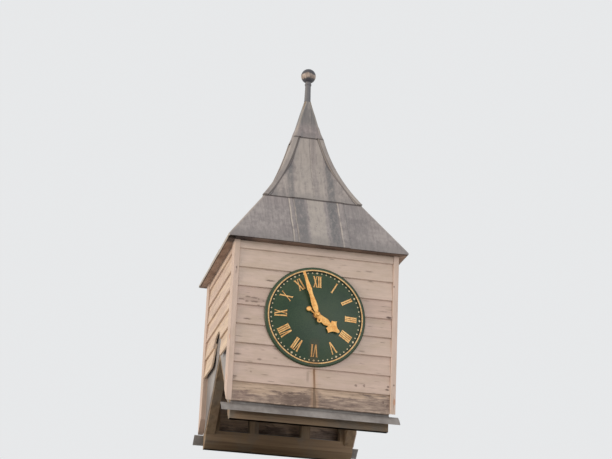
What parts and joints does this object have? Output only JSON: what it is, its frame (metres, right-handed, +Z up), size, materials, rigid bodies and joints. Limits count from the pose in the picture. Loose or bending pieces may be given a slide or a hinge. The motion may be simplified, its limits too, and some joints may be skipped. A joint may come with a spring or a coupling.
{
  "type": "roof clock turret",
  "caption": "Square boarded clock turret that stands astride a roof ridge, with a bell-cast lead spire, a ball finial and a round dial with turning hands.",
  "frame": {"origin": "middle of the base, level with the flat seats under the front and back sills", "axes": "+Z up the spire's axis, -Y out of the dial, X along the roof ridge"},
  "size_m": [1, 1.0256, 2.2324],
  "materials": {
    "white_boards": "weathered cream paint",
    "bare_wood": "sawn softwood",
    "lead": "weathered sheet lead",
    "finial": "worn brown paint",
    "dial_green": "dark green gloss",
    "gilt": "gold leaf",
    "steel": "dull steel"
  },
  "bodies": {
    "turret": {"sill_front": "bare_wood", "sill_back": "bare_wood", "sole_rakes_front": "bare_wood", "sole_rakes_back": "bare_wood", "post_front_left": "bare_wood", "post_front_right": "bare_wood", "post_back_left": "bare_wood", "post_back_right": "bare_wood", "plate_front": "bare_wood", "plate_back": "bare_wood", "plate_left": "bare_wood", "plate_right": "bare_wood", "studs": "bare_wood", "dial_bearer": "bare_wood", "tie_beam": "bare_wood", "mast": "bare_wood", "hip_ribs": "bare_wood", "face_ribs": "bare_wood", "boarding_front": "bare_wood", "boarding_right": "bare_wood", "boarding_back": "bare_wood", "boarding_left": "bare_wood", "wall_front": "white_boards", "wall_back": "white_boards", "wall_left": "white_boards", "wall_right": "white_boards", "corner_boards": "white_boards", "soffits_front_back": "white_boards", "soffits_left_right": "white_boards", "apron_front": "lead", "apron_back": "lead", "flashing_left": "lead", "flashing_right": "lead", "lead_lower": "lead", "lead_middle": "lead", "lead_upper": "lead", "hip_cappings": "lead", "finial_neck": "finial", "finial_ball": "finial", "dial_plate": "dial_green", "minute_ring": "gilt", "numerals": "gilt", "dial_bush": "steel"},
    "hour": {"hour_hand": "gilt", "hour_pipe": "steel"},
    "minute": {"minute_hand": "gilt", "minute_arbor": "steel"}
  },
  "joints": [
    {"name": "minute_turn", "type": "hinge", "parent": "turret", "child": "minute", "pos_m": [0, -0.5, 0.582], "axis": [0, 1, 0], "continuous": true},
    {"name": "hour_turn", "type": "hinge", "parent": "turret", "child": "hour", "pos_m": [0, -0.5, 0.582], "axis": [0, 1, 0], "continuous": true}
  ],
  "couplings": [
    {"joint": "hour_turn", "follows": "minute_turn", "ratio": 0.083333}
  ]
}
